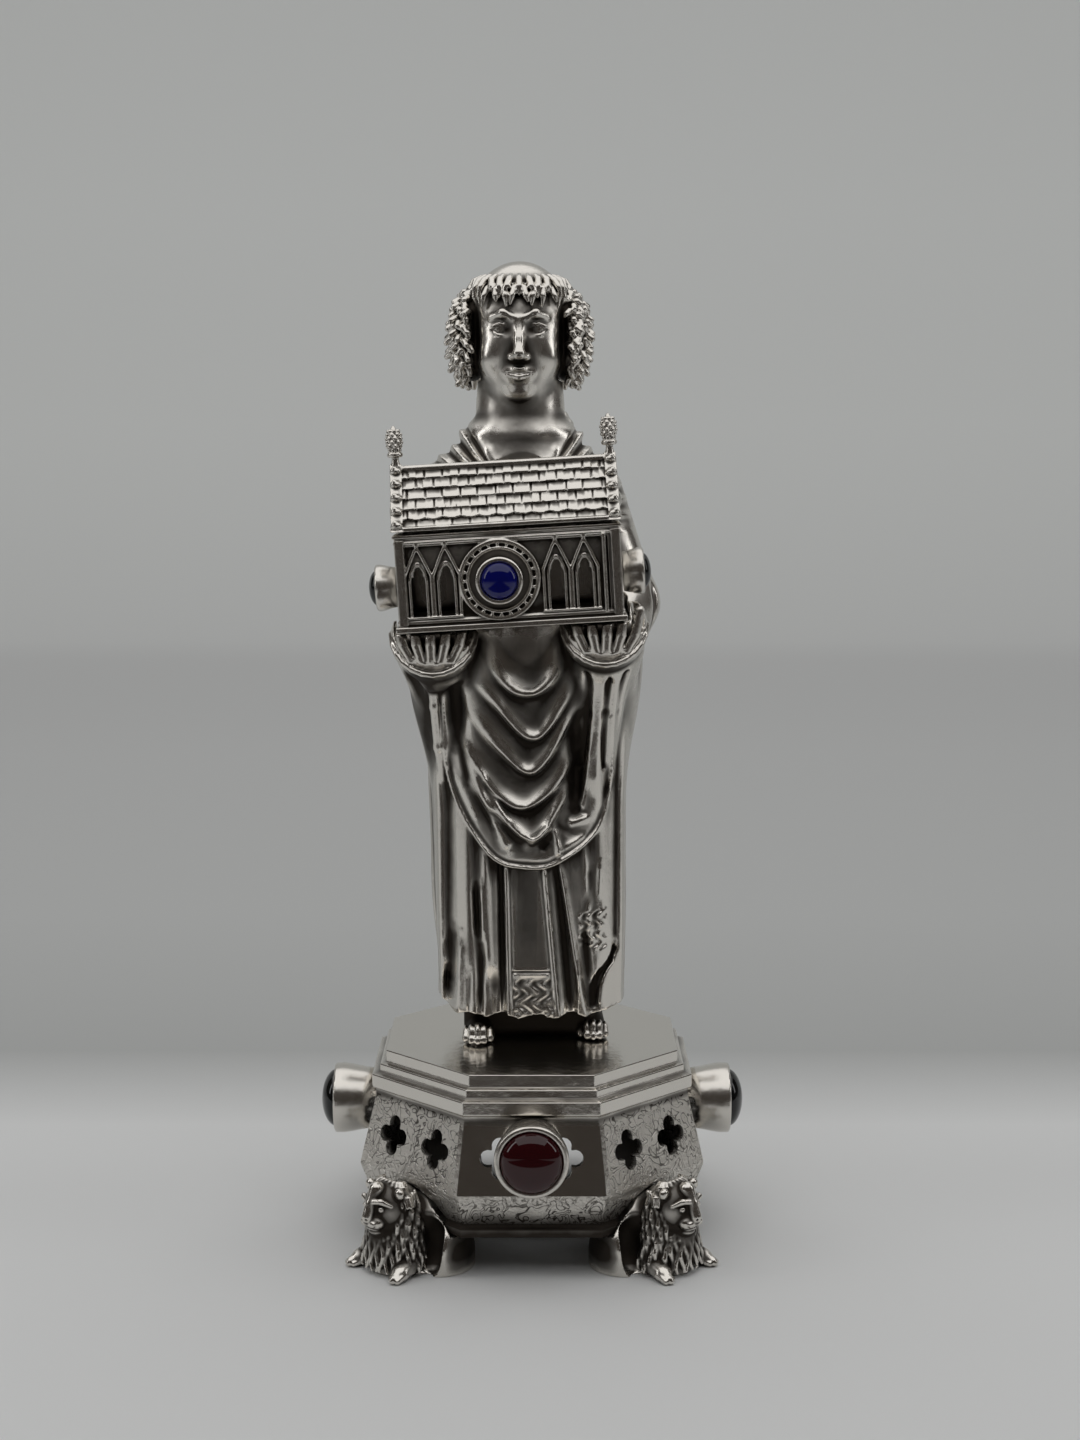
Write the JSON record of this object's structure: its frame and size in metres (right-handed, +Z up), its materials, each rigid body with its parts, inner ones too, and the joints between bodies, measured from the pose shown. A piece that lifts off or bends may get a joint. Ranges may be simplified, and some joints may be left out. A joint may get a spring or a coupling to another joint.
{
  "type": "figural reliquary with casket",
  "caption": "Cast silver bearer in long vestments holding a house-shaped casket, standing on an octagonal pierced plinth with lion feet and set with domed stones.",
  "frame": {"origin": "on the ground under the middle of the plinth", "axes": "+Z up, -Y towards the front that the bearer faces, +X to the viewer's right"},
  "size_m": [0.0714, 0.0714, 0.1612],
  "materials": {
    "silver": "polished cast silver with dark oxide in the recesses",
    "oxidised_silver": "cast silver, darker and more oxidised",
    "garnet": "polished dark red cabochon, closed behind",
    "sapphire": "polished deep blue cabochon, closed behind",
    "onyx": "polished black cabochon"
  },
  "bodies": {
    "root": {"plinth": "silver", "lion_front_left": "oxidised_silver", "lion_front_right": "oxidised_silver", "lion_back_left": "oxidised_silver", "lion_back_right": "oxidised_silver", "plinth_collar_front": "silver", "plinth_stone_front": "garnet", "plinth_collar_right": "silver", "plinth_stone_right": "onyx", "plinth_collar_back": "silver", "plinth_stone_back": "garnet", "plinth_collar_left": "silver", "plinth_stone_left": "onyx", "bearer": "silver", "casket_box": "silver", "casket_roof": "silver", "casket_collar_front": "silver", "casket_stone_front": "sapphire", "casket_collar_left": "silver", "casket_stone_left": "onyx", "casket_collar_right": "silver", "casket_stone_right": "onyx"}
  },
  "joints": []
}
